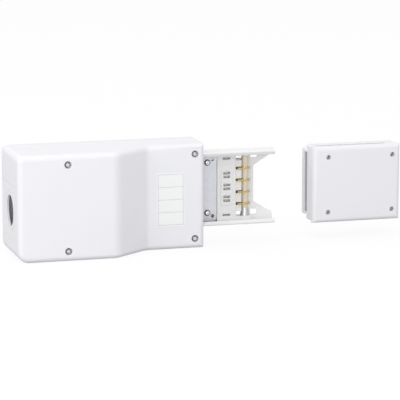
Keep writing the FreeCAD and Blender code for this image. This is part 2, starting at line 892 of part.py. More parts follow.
def terminal_block():
    left = -cage_left - barrier_margin
    right = -cage_left + cage_length + barrier_margin
    half = barrier_thickness / 2
    low = terminal_levels[0] - pole_pitch / 2 - half - block_foot
    high = terminal_levels[-1] + pole_pitch / 2 + half + block_foot
    parts = [block(left, right, cage_back, base_floor, low, high)]
    for i in range(len(terminal_levels) + 1):
        z = terminal_levels[0] + pole_pitch * (i - 0.5)
        parts.append(block(left, right, cage_front - barrier_front, cage_back + weld, z - half, z + half))
    holes = []
    for x, z in block_mount_places():
        holes.append(round_y(small_screw_radius + small_screw_gap, cage_back - past, base_floor + past, x, z))
    return cut_each(fuse(parts), holes)


def terminal_block_screws():
    return group([pan_screw(x, z, cage_back, base_floor) for x, z in block_mount_places()])


def earth_bar():
    """Strip from the earth terminal, joggled back onto the casing's tail."""
    rise = web_front - bar_back
    pad_end = -earth_screw_x + earth_pad / 2
    pad_start = -earth_screw_x - earth_pad / 2
    low = earth_level - bar_width / 2
    corners = [
        Vector(-bar_end, bar_front, low), Vector(pad_start - earth_joggle, bar_front, low),
        Vector(pad_start, bar_front + rise, low), Vector(pad_end, bar_front + rise, low),
        Vector(pad_end, bar_back + rise, low), Vector(pad_start, bar_back + rise, low),
        Vector(pad_start - earth_joggle, bar_back, low), Vector(-bar_end, bar_back, low),
    ]
    strip = outline(corners, [0] * 8).extrude(Vector(0, 0, bar_width))
    hole = round_y(small_screw_radius + small_screw_gap, 0, back_plane, -earth_screw_x, earth_level)
    return strip.cut(hole)


def cap_screw_places():
    places = []
    for x in (cap_start + cap_screw_left, cap_start + cap_screw_left + cap_screw_span):
        for side in (-1, 1):
            places.append((x, side * cap_screw_rise))
    return places


def cap_form(inset, drop, front, back, radius):
    """End cover's outline, less inset at the ends and drop above and below, as a block rounded in front."""
    half = cap_half - drop
    body = block(cap_start + inset, cap_end - inset, front, back, -half, half)
    edges = [edge for edge in body.Edges if edge.BoundBox.YMax < front + seam]
    return body.makeFillet(radius, edges)


def end_cover_front():
    """Front shell: a rounded face whose rim stands out over a plain skirt, vented above and below."""
    front = -cap_front
    rim_back = front + rim_depth
    rim = cap_form(0, 0, front, rim_back, cap_round)
    half = cap_half - skirt_drop
    skirt = slab_y(cap_start + skirt_inset, cap_end - skirt_inset, rim_back - weld, skirt_back,
                   -half, half, tray_corner)
    hollow = cap_form(skirt_inset + cap_wall, skirt_drop + cap_wall, front + cap_wall, skirt_back + past,
                      cap_round - cap_wall)
    shell = fuse([rim, skirt]).cut(hollow)
    bosses = []
    holes = []
    floor = front + cap_recess_depth
    for x, z in cap_screw_places():
        end = floor + cap_boss_floor
        bosses.append(round_y(cap_boss_radius, front + cap_wall / 2, end, x, z))
        holes.append(round_y(cap_recess_radius, front - past, floor, x, z))
        holes.append(round_y(small_screw_radius + screw_hole_gap, front, end + past, x, z))
    for low, high in both_sides(half - cap_wall - past, cap_half):
        holes.append(block(cap_start + vent_start, cap_end - vent_end, rim_back, rim_back + vent_width,
                           low, high))
    return cut_each(fuse([shell] + bosses), holes)


def cap_post_top():
    return -cap_front + cap_recess_depth + cap_boss_floor + seat_gap


def end_cover_screws():
    screws = []
    seat = -cap_front + cap_recess_depth
    for x, z in cap_screw_places():
        head = round_y(cap_head_radius, seat - cap_head_height, seat, x, z)
        screws.append(fuse([head, round_y(small_screw_radius, seat, seat + screw_length, x, z)]))
    return group(screws)


def end_cover_inserts():
    top = cap_post_top()
    inserts = []
    for x, z in cap_screw_places():
        tube = round_y(cap_insert_radius, top, top + insert_length, x, z)
        bore = round_y(small_screw_radius + insert_gap, top - past, top + insert_length + past, x, z)
        inserts.append(tube.cut(bore))
    return group(inserts)


def end_cover_rear():
    """Rear tray with a wide edge under the skirt, and the mouth for the conductors' end in its near wall."""
    half = cap_half - tray_inset
    edge_half = cap_half - skirt_drop
    floor = cap_back - cap_wall
    tray = slab_y(cap_start, cap_end, tray_front, cap_back, -half, half, tray_corner)
    edge = slab_y(cap_start + skirt_inset, cap_end - skirt_inset, tray_front, tray_front + tray_lip,
                  -edge_half, edge_half, tray_corner)
    tray = fuse([tray, edge]).cut(slab_y(cap_start + cap_wall, cap_end - cap_wall, tray_front - past, floor,
                                         -half + cap_wall, half - cap_wall, cap_inner_corner))
    added = []
    holes = []
    top = cap_post_top()
    for x, z in cap_screw_places():
        added.append(round_y(cap_post_radius, top, floor + weld, x, z))
        holes.append(round_y(cap_insert_radius, top - past, top + insert_length, x, z))
        holes.append(round_y(small_screw_radius + insert_gap, top, top + screw_length, x, z))
    for i in range(cap_rib_count):
        x = cap_start + cap_screw_left + cap_screw_span * (i + 1) / (cap_rib_count + 1) - rib_thickness / 2
        added.append(block(x, x + rib_thickness, floor - rib_height, floor + weld,
                           -half + cap_wall / 2, half - cap_wall / 2))
    holes.append(block(cap_start - past, cap_start + cap_wall + past, tray_front - past,
                       skirt_back + mouth_depth, -mouth_half, mouth_half))
    return cut_each(fuse([tray] + added), holes)


def build():
    """Name of each piece and its solid, or its group of like solids."""
    pieces = {
        "rear_base": rear_base(),
        "front_cover": front_cover(),
        "cover_screws": cover_screws(),
        "cover_inserts": cover_inserts(),
        "cover_seal": cover_seal(),
        "gland_plate": gland_plate(),
        "joint_casing": joint_casing(),
        "casing_screws": casing_screws(),
        "rear_liner": rear_liner(),
        "fixing_plate": fixing_plate(),
        "plate_pillars": plate_pillars(),
        "plate_screws": plate_screws(),
        "plate_washers": plate_washers(),
        "joint_insulator": joint_insulator(),
        "block_screws": block_screws(),
        "spacer_sleeves": spacer_sleeves(),
        "clamp_rod": clamp_rod(),
        "rod_foot": rod_foot(),
        "rod_nuts": rod_nuts(),
        "terminal_block": terminal_block(),
        "terminal_block_screws": terminal_block_screws(),
        "terminal_screws": terminal_screws(),
        "terminal_pe": terminal(earth_level),
        "earth_bar": earth_bar(),
        "earth_screw": earth_screw(),
        "end_cover_front": end_cover_front(),
        "end_cover_screws": end_cover_screws(),
        "end_cover_rear": end_cover_rear(),
        "end_cover_inserts": end_cover_inserts(),
    }
    for name, level in zip(pole_names, poles):
        pieces["contact_bar_" + name] = contact_bar(level)
        pieces["terminal_" + name] = terminal(level - bar_drop)
    return pieces


os.makedirs("parts", exist_ok=True)
for node, shape in build().items():
    if not shape.isValid():
        raise ValueError(node + " is not a valid solid")
    shape.exportStep("parts/" + node + ".step")
    print(node, len(shape.Solids), round(shape.Volume))
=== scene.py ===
import json
import math

import bmesh
import bpy
from bpy.props import FloatProperty, FloatVectorProperty, IntProperty, PointerProperty
from mathutils import Euler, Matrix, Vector


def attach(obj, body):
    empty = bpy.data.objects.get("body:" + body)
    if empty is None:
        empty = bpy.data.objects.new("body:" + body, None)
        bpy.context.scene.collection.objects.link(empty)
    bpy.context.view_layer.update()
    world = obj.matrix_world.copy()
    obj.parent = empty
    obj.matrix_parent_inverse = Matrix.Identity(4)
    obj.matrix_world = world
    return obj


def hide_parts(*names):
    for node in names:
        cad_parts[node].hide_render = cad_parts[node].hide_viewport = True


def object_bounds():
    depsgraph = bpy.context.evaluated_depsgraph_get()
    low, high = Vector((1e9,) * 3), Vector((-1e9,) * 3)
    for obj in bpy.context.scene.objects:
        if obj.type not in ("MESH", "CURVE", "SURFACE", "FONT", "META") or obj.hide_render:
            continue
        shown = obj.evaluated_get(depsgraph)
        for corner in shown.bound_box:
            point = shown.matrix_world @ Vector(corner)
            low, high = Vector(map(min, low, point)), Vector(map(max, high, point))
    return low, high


bl_info = {
    "name": "Busway end feed unit",
    "version": (1, 0, 0),
    "blender": (4, 5, 0),
    "location": "3D View > Sidebar > Feed unit",
    "description": "Finishes, screws, label plate and studio stage for a busway end feed unit",
    "category": "Object",
}

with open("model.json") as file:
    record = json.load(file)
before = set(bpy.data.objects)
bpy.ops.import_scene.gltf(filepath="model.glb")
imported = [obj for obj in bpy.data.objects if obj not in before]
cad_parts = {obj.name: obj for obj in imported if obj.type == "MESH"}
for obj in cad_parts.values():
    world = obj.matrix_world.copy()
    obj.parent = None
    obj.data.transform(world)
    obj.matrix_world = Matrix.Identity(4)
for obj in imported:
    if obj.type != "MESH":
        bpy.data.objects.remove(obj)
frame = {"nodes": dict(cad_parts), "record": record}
CAD_BOX = [list(corner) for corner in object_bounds()]
RECORD = frame["record"]
SLOTS = {part["node"]: part["material_slot"] for part in RECORD["subparts"]}
BODIES = {node: body for body, nodes in RECORD["behaviour"]["bodies"].items() for node in nodes}
MM = 0.001
WHITE = (1, 1, 1, 1)

# Sockets of a Mix node that mixes colours.
MIX_SHARE, MIX_FROM, MIX_TO, MIX_RESULT = 0, 6, 7, 2

# Finishes: fineness of the noise in tone and in relief, and of the search for edges.
CLOUD_DETAIL, GRAIN_DETAIL, EDGE_SAMPLES = 3.0, 2.0, 6
RECESS_HIGHLIGHT = "worn"  # attribute of the faces in the screws' recesses, which get a painted highlight

# Smooth pieces: how near loose corners are joined, the angle past which an edge stays sharp,
# and how much a large face counts in the direction of its corners.
JOINED_WITHIN = 0.002 * MM
SHARP_PAST = math.radians(32)
FLAT_WEIGHT = 80

# Screws: the share of a head's height at which its side starts to draw in, the share of its
# area that the crown has lost, the share of the height under which a face can lie in the recess,
# and the width of the recess's arms as a share of its span.
SHOULDER_SHARE = 0.34
DRAWN_IN = 0.5
BELOW_CROWN = 0.99
ARM_SHARE = 0.34
HEAD_SIDES, HEAD_RINGS, SHANK_SIDES = 40, 8, 20
SCREW_SHARP_PAST = math.radians(35)
TURN_SEED = 4

# Label: straight steps in a corner.
CORNER_STEPS = 6

# Stage, in metres: side and place of each lamp, half the floor's side, and how far the camera sees.
LAMPS = {
    "front": (0.8, (-0.75, -2.6, 0.4)),
    "left": (1.2, (-2.2, -0.9, 0.9)),
    "top": (1.4, (-0.3, 1.2, 2.4)),
}
FLOOR_REACH = 6.0
CAMERA_REACH = 30.0
SENSOR_WIDTH = 36.0  # millimetres


def linear(hex_colour):
    """Scene-linear red, green and blue of an sRGB hex colour."""
    channels = [int(hex_colour[i:i + 2], 16) / 255 for i in (1, 3, 5)]
    return tuple(c / 12.92 if c <= 0.04045 else ((c + 0.055) / 1.055) ** 2.4 for c in channels)


def colour_value(name, hex_colour, description):
    """Property that holds a colour."""
    return FloatVectorProperty(name=name, description=description, subtype="COLOR", size=3,
                               min=0, max=1, default=linear(hex_colour))


def length_value(name, millimetres, description):
    """Property that holds a length."""
    return FloatProperty(name=name, description=description, subtype="DISTANCE", unit="LENGTH",
                         precision=4, default=millimetres * MM)


class FeedUnitFinish(bpy.types.PropertyGroup):
    """Colours of the finishes."""
    moulding: colour_value("White moulding", "#F1F1F5", "Box and end cover")
    sheet: colour_value("White coat", "#F4F4F5", "Powder coat on the stub's casing")
    insulator: colour_value("White insulator", "#F0F0EF", "Joint insulator")
    grey_plastic: colour_value("Grey plastic", "#8D9092", "Terminal block and liner")
    galvanised: colour_value("Galvanised sheet", "#D3D3DA", "Fixing plate")
    zinc: colour_value("Zinc plate", "#C4C5C7", "Rod, foot, nuts and small screws")
    bright_zinc: colour_value("Bright zinc", "#E0E1E3", "Fixing plate's screws")
    # Painted shade and painted highlight: the cover screws' heads are painted a darker grey than
    # zinc, and their recesses a lighter one.
    shaded_zinc: colour_value("Zinc with painted shade", "#9C9EA1", "Front cover's screws")
    worn: colour_value("Painted highlight in recess", "#D4D5D6", "Cross recesses of the front cover's screws")
    brass: colour_value("Brass", "#C6B174", "Contact bars, terminals and inserts")
    sleeve: colour_value("Ivory sleeve", "#E0D4C1", "Sleeves on the clamp rod")
    black: colour_value("Black nylon", "#1B1B1C", "Washers under the plate's screws")
    seal: colour_value("Foam seal", "#C9CACC", "Seal under the cover's rim")
    label: colour_value("Label film", "#F8F9F9", "Bare label plate")
    rule: colour_value("Label rule", "#C3C8CC", "Ruled frame on the label")


class FeedUnitSizes(bpy.types.PropertyGroup):
    """Sizes of what is added to the solids."""
    soft_edge: length_value(
        "Soft edge", 0.4, "Rounding that the light shows on moulded and cut edges")
    head_height: length_value("Cover screw head", 3.2, "Height of a cover screw's head")
    cap_head_height: length_value(
        "End cover screw head", 2.4, "Height of an end cover screw's head")
    plate_head_height: length_value("Plate screw head", 2.0, "Height of a plate screw's head")
    small_head_height: length_value(
        "Small screw head", 2.4, "Height of the small screws' heads inside the box")
    cover_shank: length_value("Cover screw shank", 2.0, "Radius of a cover screw's shank")
    small_shank: length_value("Small shank", 1.8, "Radius of the other screws' shanks")
    cover_recess: length_value(
        "Cover screw recess", 5.4, "Span of the cross in a cover screw's head")
    small_recess: length_value("Small recess", 4.0, "Span of the cross in a small screw's head")
    plate_recess: length_value(
        "Plate screw recess", 3.0, "Span of the cross in a plate screw's head")
    recess_depth: length_value("Recess depth", 0.9, "Depth of the crosses in the screws' heads")
    label_left: length_value("Label's left edge", -74.8, "Along the run, from the box's end face")
    label_right: length_value("Label's right edge", -31.2, "Along the run, from the box's end face")
    label_top: length_value("Label's top", 34.3, "Above the trunking's centre line")
    label_bottom: length_value("Label's bottom", -47.3, "Above the trunking's centre line")
    label_front: length_value("Label's seat", -47.5, "Face of the shallow half of the cover")
    label_corner: length_value("Label corner", 2.0, "Corner radius of the label plate")
    label_film: length_value("Label film", 0.25, "How far the film stands off the cover")
    rule_width: length_value("Rule width", 0.5, "Width of the label's ruled lines")
    rule_inset: length_value("Rule inset", 2.4, "Distance of the ruled frame from the label's edge")
    rule_ink: length_value("Rule ink", 0.03, "How far the ruled lines stand off the film")
    rule_count: IntProperty(
        name="Fields", description="Blank fields ruled on the label", min=1, max=12, default=4)


class FeedUnitStage(bpy.types.PropertyGroup):
    """Camera, light and floor."""
    yaw: FloatProperty(
        name="Yaw", description="Camera's turn away from straight ahead", subtype="ANGLE",
        default=math.radians(16.04))
    pitch: FloatProperty(
        name="Pitch", description="Camera's view downwards", subtype="ANGLE",
        default=math.radians(10.41))
    distance: FloatProperty(
        name="Distance", description="From the camera to its target", subtype="DISTANCE",
        unit="LENGTH", default=3.713)
    target: FloatVectorProperty(
        name="Target", description="Point that the camera looks at", subtype="XYZ", unit="LENGTH",
        size=3, default=(0.0139, 0.026, -0.0233))
    lens: FloatProperty(name="Lens", description="Focal length in millimetres", default=217.4)
    front_power: FloatProperty(
        name="Front lamp", description="Power of the lamp in front in watts", default=19.5)
    left_power: FloatProperty(
        name="Left lamp", description="Power of the lamp on the left in watts", default=11.5)
    top_power: FloatProperty(
        name="Top lamp", description="Power of the lamp above in watts", default=8.0)
    ambient: FloatProperty(name="Ambient", description="Strength of the even light", default=0.817)
    floor_bounce: colour_value(
        "Floor bounce", "#B4B4B4", "Floor's colour for the light that it sends back")
    floor_white: FloatProperty(
        name="Floor white", description="Share of plain white in the floor as it is seen",
        subtype="FACTOR", min=0, max=1, default=0.9)


def add(tree, kind, inputs=None, **settings):
    """Adds a node with its settings; each input takes a value, or a socket to link from."""
    node = tree.nodes.new(kind)
    for name, value in settings.items():
        setattr(node, name, value)
    for name, value in (inputs or {}).items():
        if isinstance(value, bpy.types.NodeSocket):
            tree.links.new(value, node.inputs[name])
        else:
            node.inputs[name].default_value = value
    return node


def tone(colour, factor):
    """A colour made lighter or darker, with the alpha that a socket needs."""
    return (*[min(1, channel * factor) for channel in colour], 1)


def surface(name, colour, spread, patch, rough, grain, depth, stretch=(1, 1, 1), worn=None,
            **uniform):
    """Material with cloudy tone and gloss in patches, a grain in relief and softly lit edges.

    spread is how far the tone strays to each side, patch, grain and depth are in millimetres,
    rough holds the least and the greatest roughness, stretch draws the pattern out along an axis
    whose value is below 1, the argument after stretch is the colour of a painted highlight on
    the faces that the mesh marks, and uniform holds values for the shader's own sockets.
    """
    made = bpy.data.materials.new(name)
    made.use_nodes = True
    tree = made.node_tree
    tree.nodes.clear()
    place = add(tree, "ShaderNodeTexCoord").outputs["Object"]
    laid = add(tree, "ShaderNodeMapping", {"Vector": place, "Scale": stretch}).outputs["Vector"]
    cloud = add(tree, "ShaderNodeTexNoise", {
        "Vector": laid, "Scale": 1 / (patch * MM), "Detail": CLOUD_DETAIL}).outputs["Fac"]
    tint = add(tree, "ShaderNodeMix", {
        MIX_SHARE: cloud, MIX_FROM: tone(colour, 1 - spread), MIX_TO: tone(colour, 1 + spread)},
        data_type="RGBA").outputs[MIX_RESULT]
    # Painted highlight: the faces that the mesh marks get a lighter colour in place of the light
    # that they would catch.
    if worn:
        highlit = add(tree, "ShaderNodeAttribute", attribute_type="GEOMETRY",
                     attribute_name=RECESS_HIGHLIGHT).outputs["Fac"]
        tint = add(tree, "ShaderNodeMix", {
            MIX_SHARE: highlit, MIX_FROM: tint, MIX_TO: tone(worn, 1)},
            data_type="RGBA").outputs[MIX_RESULT]
    gloss = add(tree, "ShaderNodeMapRange", {
        "Value": cloud, "To Min": rough[0], "To Max": rough[1]}).outputs["Result"]
    relief = add(tree, "ShaderNodeTexNoise", {
        "Vector": laid, "Scale": 1 / (grain * MM), "Detail": GRAIN_DETAIL}).outputs["Fac"]
    edge = add(tree, "ShaderNodeBevel", {
        "Radius": bpy.context.scene.feed_unit_sizes.soft_edge},
        samples=EDGE_SAMPLES).outputs["Normal"]
    bump = add(tree, "ShaderNodeBump", {
        "Height": relief, "Distance": depth * MM, "Normal": edge}).outputs["Normal"]
    shader = add(tree, "ShaderNodeBsdfPrincipled", {
        "Base Color": tint, "Roughness": gloss, "Normal": bump,
        **{socket.replace("_", " "): value for socket, value in uniform.items()}})
    add(tree, "ShaderNodeOutputMaterial", {"Surface": shader.outputs["BSDF"]})
    return made


def build_finishes():
    """One material for each of the record's slots, two for screws and two for the label.

    The grains of the plastics, the plated steel, the brass and the ink are drawn at half a
    millimetre or more, which is coarser than the real ones, so that they show.
    """
    own = bpy.context.scene.feed_unit_finish
    return {
        # Moulded ABS from a spark-eroded tool: an even white, matt, with a fine grain.
        # The grain is drawn at 1.6 mm, coarser than the real 0.2 mm, so that it shows.
        "white_moulding": surface(
            "moulded_abs", own.moulding, spread=0.012, patch=70, rough=(0.5, 0.6),
            grain=1.6, depth=0.02),
        # Polyester powder coat on sheet steel: smooth, a little glossier, with faint orange peel.
        "white_sheet": surface(
            "powder_coated_steel", own.sheet, spread=0.012, patch=45, rough=(0.34, 0.42),
            grain=2.6, depth=0.03),
        # Moulded PBT: a dense, slightly shiny white.
        "insulator": surface(
            "moulded_pbt", own.insulator, spread=0.015, patch=30, rough=(0.3, 0.38),
            grain=1.2, depth=0.01),
        # Glass-filled polyamide: matt grey with the fibres' flow in it.
        "grey_insulator": surface(
            "glass_filled_polyamide", own.grey_plastic, spread=0.08, patch=9, rough=(0.45, 0.6),
            grain=0.8, depth=0.03, stretch=(0.4, 1, 1)),
        # Hot-dip galvanised sheet: lavender grey, half-matt, cloudy where the zinc froze.
        "galvanised": surface(
            "galvanised_sheet", own.galvanised, spread=0.1, patch=7, rough=(0.4, 0.55),
            grain=2.0, depth=0.01, Metallic=0.7),
        # Zinc-plated steel: bright grey, half-matt, a little uneven where the plate is thin.
        "steel": surface(
            "zinc_plated_steel", own.zinc, spread=0.1, patch=2.5, rough=(0.36, 0.5),
            grain=0.5, depth=0.01, Metallic=1.0),
        # Fresh zinc plate with a clear passivation: nearly white, with a soft shine.
        "bright_screw": surface(
            "bright_zinc_plate", own.bright_zinc, spread=0.05, patch=2.5, rough=(0.28, 0.4),
            grain=0.5, depth=0.01, Metallic=1.0),
        # Zinc plate in two copies: a dark grey on the head that paints its shade, and a light grey
        # inside the recess that paints a highlight.
        "screw": surface(
            "dulled_zinc_plate", own.shaded_zinc, spread=0.1, patch=2.5, rough=(0.36, 0.5),
            grain=0.5, depth=0.01, worn=own.worn, Metallic=1.0),
        # Half-hard rolled brass: golden and shiny, with fine marks along the strip.
        "brass": surface(
            "rolled_brass", own.brass, spread=0.1, patch=5, rough=(0.12, 0.22),
            grain=0.8, depth=0.006, stretch=(0.15, 1, 1), Metallic=1.0),
        # Cast resin tube with a pearl filler: glossy ivory, darker towards its flanks.
        "sleeve": surface(
            "cast_resin", own.sleeve, spread=0.03, patch=8, rough=(0.08, 0.14),
            grain=1.0, depth=0.004, Metallic=0.35),
        # Moulded nylon washer: dense black with a dull skin.
        "black_washer": surface(
            "black_nylon", own.black, spread=0.2, patch=3, rough=(0.4, 0.55),
            grain=0.6, depth=0.02),
        # Closed-cell foam: dull grey with cut cells at its skin.
        "seal": surface(
            "foam_rubber", own.seal, spread=0.08, patch=2.2, rough=(0.8, 0.95),
            grain=0.7, depth=0.15),
        # Polyester label film: smooth satin white.
        "label": surface(
            "label_film", own.label, spread=0.006, patch=25, rough=(0.3, 0.36),
            grain=6, depth=0.01),
        # Screen-printed rule: thin satin ink.
        "rule": surface(
            "printed_rule", own.rule, spread=0.03, patch=4, rough=(0.4, 0.5),
            grain=0.8, depth=0.005),
    }


FINISHES = {}


def finish(look):
    """Material of a look; all of them are made the first time that one is asked for."""
    if not FINISHES:
        FINISHES.update(build_finishes())
    return FINISHES[look]


def keep(piece_name, mesh, look, body, *nodes):
    """Puts a finished mesh into the scene with its finish, on a body and in place of nodes."""
    piece = bpy.data.objects.new(piece_name, mesh)
    bpy.context.scene.collection.objects.link(piece)
    mesh.materials.clear()
    mesh.materials.append(finish(look))
    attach(piece, body)
    if nodes:
        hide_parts(*nodes)


def plain_mesh(carrier):
    """What an object's modifiers make of it, as a plain mesh; the object is taken away."""
    bpy.context.scene.collection.objects.link(carrier)
    evaluated = carrier.evaluated_get(bpy.context.evaluated_depsgraph_get())
    made = bpy.data.meshes.new_from_object(evaluated)
    carrier.modifiers.clear()
    name, source = carrier.name, carrier.data
    bpy.data.objects.remove(carrier)
    bpy.data.meshes.remove(source)
    made.name = name
    return made


def merged(node):
    """Copy of a solid's mesh with its loose triangles joined up."""
    mesh = frame["nodes"][node].data.copy()
    if "custom_normal" in mesh.attributes:
        mesh.attributes.remove(mesh.attributes["custom_normal"])
    work = bmesh.new()
    work.from_mesh(mesh)
    bmesh.ops.remove_doubles(work, verts=work.verts, dist=JOINED_WITHIN)
    work.to_mesh(mesh)
    work.free()
    return mesh


def smooth_piece(node, piece_name):
    """Stands for a solid with the same shape, its rounds shaded smoothly and its flats flat."""
    mesh = merged(node)
    mesh.shade_smooth()
    mesh.set_sharp_from_angle(angle=SHARP_PAST)
    carrier = bpy.data.objects.new(piece_name, mesh)
    flats = carrier.modifiers.new("flats", "WEIGHTED_NORMAL")
    flats.keep_sharp = True
    flats.weight = FLAT_WEIGHT
    keep(piece_name, plain_mesh(carrier), SLOTS[node], BODIES[node], node)


def solid_boxes(node):
    """Lowest and highest corner of each separate solid in a node."""
    mesh = merged(node)
    work = bmesh.new()
    work.from_mesh(mesh)
    bpy.data.meshes.remove(mesh)
    left = set(work.verts)
    boxes = []
    while left:
        to_follow = [left.pop()]
        found = list(to_follow)
        while to_follow:
            for link in to_follow.pop().link_edges:
                for vert in link.verts:
                    if vert in left:
                        left.remove(vert)
                        to_follow.append(vert)
                        found.append(vert)
        low = Vector([min(v.co[i] for v in found) for i in range(3)])
        high = Vector([max(v.co[i] for v in found) for i in range(3)])
        boxes.append((low, high))
    work.free()
    # In the order of their places, so that each screw gets the same turn in every run.
    return sorted(boxes, key=lambda box: (round(box[0].x / MM), round(box[0].z / MM)))


def screw_tree():
    """Node tree that sets a cross-head pan screw, pointing along +Y, on each point of a mesh."""
    tree = bpy.data.node_groups.new("pan_screw", "GeometryNodeTree")
    tree.interface.new_socket("Places", in_out="INPUT", socket_type="NodeSocketGeometry")
    for name in ("Head radius", "Head height", "Shank radius", "Shank length", "Recess span",
                 "Recess width", "Recess depth"):
        tree.interface.new_socket(name, in_out="INPUT", socket_type="NodeSocketFloat")
    tree.interface.new_socket("Finish", in_out="INPUT", socket_type="NodeSocketMaterial")
    tree.interface.new_socket("Screws", in_out="OUTPUT", socket_type="NodeSocketGeometry")
    given = add(tree, "NodeGroupInput").outputs
    height, span, length = given["Head height"], given["Recess span"], given["Shank length"]

    # The head starts as a drum that stands on its seat.
    drum = add(tree, "GeometryNodeMeshCylinder", {
        "Vertices": HEAD_SIDES, "Side Segments": HEAD_RINGS, "Radius": given["Head radius"],
        "Depth": height}).outputs["Mesh"]
    half = add(tree, "ShaderNodeMath", {0: height, 1: 0.5}, operation="MULTIPLY").outputs[0]
    lift = add(tree, "ShaderNodeCombineXYZ", {"Z": half}).outputs[0]
    drum = add(tree, "GeometryNodeTransform", {"Geometry": drum, "Translation": lift}).outputs[0]

    # Above its shoulder, the drum draws in to a flat crown.
    spot = add(tree, "GeometryNodeInputPosition").outputs[0]
    apart = add(tree, "ShaderNodeSeparateXYZ", {0: spot}).outputs
    level = add(tree, "ShaderNodeMath", {0: apart["Z"], 1: height}, operation="DIVIDE").outputs[0]
    climb = add(tree, "ShaderNodeMapRange", {"Value": level, "From Min": SHOULDER_SHARE}).outputs[0]
    curve = add(tree, "ShaderNodeMath", {0: climb, 1: climb}, operation="MULTIPLY").outputs[0]
    lost = add(tree, "ShaderNodeMath", {0: curve, 1: DRAWN_IN}, operation="MULTIPLY").outputs[0]
    area = add(tree, "ShaderNodeMath", {0: 1.0, 1: lost}, operation="SUBTRACT").outputs[0]
    draw = add(tree, "ShaderNodeMath", {0: area, 1: 0.5}, operation="POWER").outputs[0]
    inwards = add(tree, "ShaderNodeCombineXYZ", {"X": draw, "Y": draw, "Z": 1.0}).outputs[0]
    domed = add(tree, "ShaderNodeVectorMath", {0: spot, 1: inwards},
                operation="MULTIPLY").outputs[0]
    head = add(tree, "GeometryNodeSetPosition", {"Geometry": drum, "Position": domed}).outputs[0]

    # Two crossed bars, half sunk in the crown, cut the recess.
    thick = add(tree, "ShaderNodeMath", {0: given["Recess depth"], 1: 2.0},
                operation="MULTIPLY").outputs[0]
    size = add(tree, "ShaderNodeCombineXYZ", {
        "X": span, "Y": given["Recess width"], "Z": thick}).outputs[0]
    bar = add(tree, "GeometryNodeMeshCube", {"Size": size}).outputs["Mesh"]
    crown = add(tree, "ShaderNodeCombineXYZ", {"Z": height}).outputs[0]
    for turn in (0.0, math.pi / 2):
        arm = add(tree, "GeometryNodeTransform", {
            "Geometry": bar, "Translation": crown, "Rotation": Euler((0, 0, turn))}).outputs[0]
        head = add(tree, "GeometryNodeMeshBoolean", {"Mesh 1": head, "Mesh 2": arm},
                   operation="DIFFERENCE", solver="EXACT").outputs["Mesh"]

    # The faces inside the recess are marked, so that the finish can paint a highlight on them.
    across = add(tree, "ShaderNodeCombineXYZ", {"X": apart["X"], "Y": apart["Y"]}).outputs[0]
    reach = add(tree, "ShaderNodeVectorMath", {0: across}, operation="LENGTH").outputs["Value"]
    limit = add(tree, "ShaderNodeMath", {0: span, 1: 0.5}, operation="MULTIPLY").outputs[0]
    near = add(tree, "ShaderNodeMath", {0: reach, 1: limit}, operation="LESS_THAN").outputs[0]
    rim = add(tree, "ShaderNodeMath", {0: height, 1: BELOW_CROWN}, operation="MULTIPLY").outputs[0]
    below = add(tree, "ShaderNodeMath", {0: apart["Z"], 1: rim}, operation="LESS_THAN").outputs[0]
    highlit = add(tree, "ShaderNodeMath", {0: near, 1: below}, operation="MULTIPLY").outputs[0]
    head = add(tree, "GeometryNodeStoreNamedAttribute", {
        "Geometry": head, "Name": RECESS_HIGHLIGHT, "Value": highlit},
        data_type="FLOAT", domain="FACE").outputs[0]

    # The shank hangs under the seat.
    shank = add(tree, "GeometryNodeMeshCylinder", {
        "Vertices": SHANK_SIDES, "Radius": given["Shank radius"], "Depth": length}).outputs["Mesh"]
    down = add(tree, "ShaderNodeMath", {0: length, 1: -0.5}, operation="MULTIPLY").outputs[0]
    sink = add(tree, "ShaderNodeCombineXYZ", {"Z": down}).outputs[0]
    shank = add(tree, "GeometryNodeTransform", {"Geometry": shank, "Translation": sink}).outputs[0]
    screw = add(tree, "GeometryNodeJoinGeometry")
    tree.links.new(head, screw.inputs[0])
    tree.links.new(shank, screw.inputs[0])

    # Each screw is driven home at a turn of its own.
    placed = add(tree, "GeometryNodeInstanceOnPoints", {
        "Points": given["Places"], "Instance": screw.outputs[0],
        "Rotation": Euler((math.pi / 2, 0, 0))}).outputs[0]
    turn = add(tree, "FunctionNodeRandomValue", {
        0: (0, 0, 0), 1: (0, 0, math.pi / 2), "Seed": TURN_SEED},
        data_type="FLOAT_VECTOR").outputs[0]
    placed = add(tree, "GeometryNodeRotateInstances", {
        "Instances": placed, "Rotation": turn, "Local Space": True}).outputs[0]
    real = add(tree, "GeometryNodeRealizeInstances", {"Geometry": placed}).outputs[0]
    done = add(tree, "GeometryNodeSetMaterial", {
        "Geometry": real, "Material": given["Finish"]}).outputs[0]
    add(tree, "NodeGroupOutput", {"Screws": done})
    return tree


def screw_piece(tree, node, look, head_height, shank_radius, recess_span, recess_depth):
    """Detailed screws in the places of a node's plain ones."""
    piece_name = node + "_detailed"
    boxes = solid_boxes(node)
    low, high = boxes[0]
    seats = [((a.x + b.x) / 2, a.y + head_height, (a.z + b.z) / 2) for a, b in boxes]
    mesh = bpy.data.meshes.new(piece_name)
    mesh.from_pydata(seats, [], [])
    carrier = bpy.data.objects.new(piece_name, mesh)
    maker = carrier.modifiers.new("screws", "NODES")
    maker.node_group = tree
    values = {
        "Head radius": (high.x - low.x) / 2,
        "Head height": head_height,
        "Shank radius": shank_radius,
        "Shank length": high.y - low.y - head_height,
        "Recess span": recess_span,
        "Recess width": recess_span * ARM_SHARE,
        "Recess depth": recess_depth,
        "Finish": finish(look),
    }
    for item in tree.interface.items_tree:
        if item.name in values:
            maker[item.identifier] = values[item.name]
    made = plain_mesh(carrier)
    made.shade_smooth()
    made.set_sharp_from_angle(angle=SCREW_SHARP_PAST)
    keep(piece_name, made, look, BODIES[node], node)


